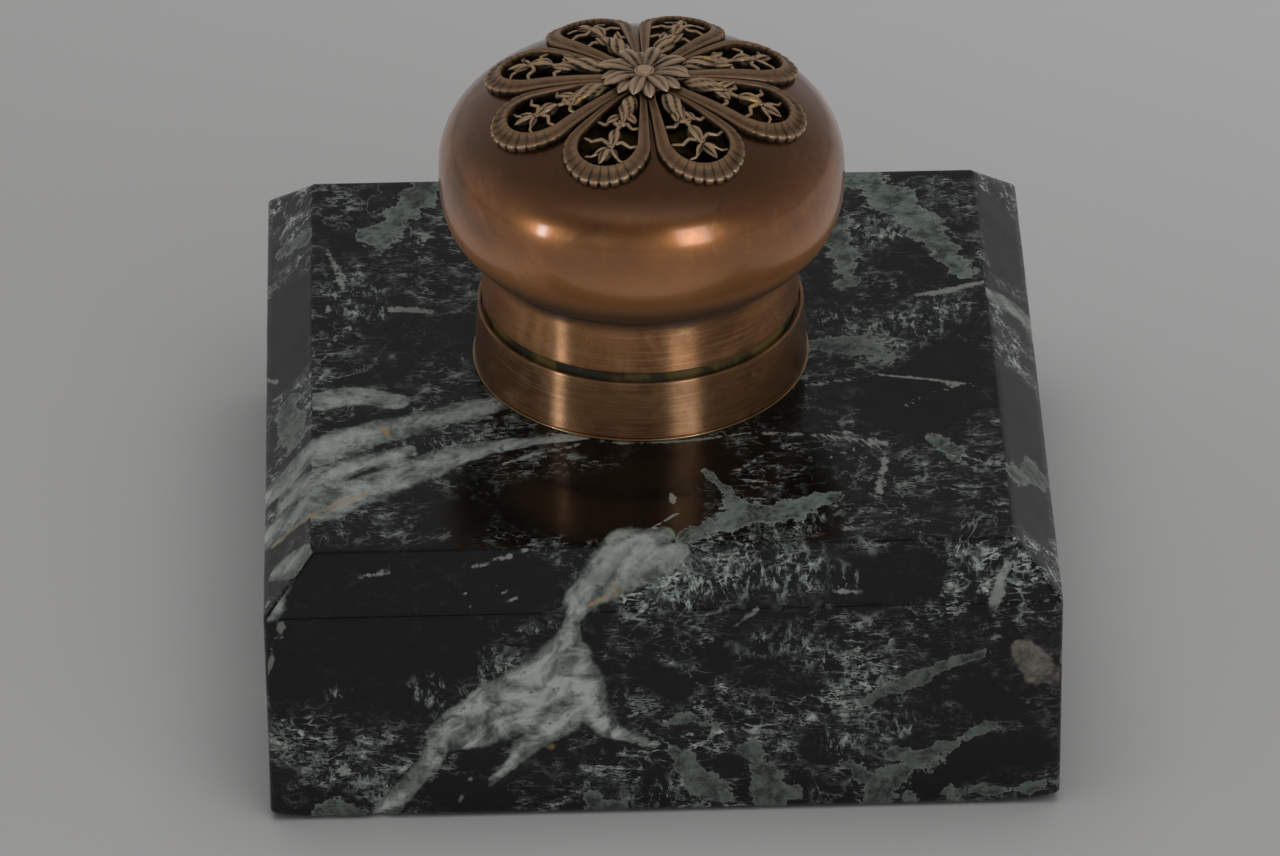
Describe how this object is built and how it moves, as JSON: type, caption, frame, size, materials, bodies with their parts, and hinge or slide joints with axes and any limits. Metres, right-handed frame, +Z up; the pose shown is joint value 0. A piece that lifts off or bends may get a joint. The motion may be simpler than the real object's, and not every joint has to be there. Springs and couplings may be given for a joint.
{
  "type": "inkwell",
  "caption": "Square chamfered marble desk inkwell with a turned copper collar, a hinged dome lid bearing an openwork flower rosette, and a lift-out porcelain ink pot.",
  "frame": {"origin": "centre of the square footprint, on the table under the felt", "axes": "+Z up, -Y towards the writer (front), +X to the writer's right"},
  "size_m": [0.12, 0.12, 0.095],
  "materials": {
    "marble": "polished, dark green-black with pale veins",
    "felt": "short-napped green felt",
    "collar_copper": "circumferentially brushed copper, browned, worn bright at the rim",
    "neck_copper": "brushed copper, verdigris in the seam",
    "dome_copper": "browned copper patina, soft gloss",
    "rosette_bronze": "antique grey-brown cast bronze, dark in the recesses",
    "hinge_brass": "browned brass, worn on the barrel",
    "fixings": "dull turned brass",
    "porcelain": "white glaze with faint ink stain",
    "leather": "dark compressed leather"
  },
  "bodies": {
    "base": {"marble_base": "marble", "felt_pad": "felt", "collar_foot_plate": "collar_copper", "collar_tube": "collar_copper", "stud_rods": "fixings", "stud_washers": "fixings", "stud_nuts": "fixings", "pot_seat_ring": "leather", "hinge_leaf_collar": "hinge_brass", "hinge_rivets_collar": "hinge_brass", "hinge_pin": "hinge_brass"},
    "lid": {"lid_sleeve": "neck_copper", "lid_neck_band": "neck_copper", "dome_shell": "dome_copper", "rosette_loops": "rosette_bronze", "rosette_sprays": "rosette_bronze", "rosette_daisy": "rosette_bronze", "rosette_button": "rosette_bronze", "lid_washer": "fixings", "lid_nut": "fixings", "hinge_leaf_lid": "hinge_brass", "hinge_rivets_lid": "hinge_brass"},
    "pot": {"ink_pot": "porcelain"}
  },
  "joints": [
    {"name": "lid_hinge", "type": "hinge", "parent": "base", "child": "lid", "pos_m": [-0.0017, 0.0288, 0.0553], "axis": [-1, 0, 0], "range_deg": [0, 100]},
    {"name": "pot_lift", "type": "slide", "parent": "base", "child": "pot", "axis": [0, 0, 1], "range_m": [0, 0.03]}
  ]
}
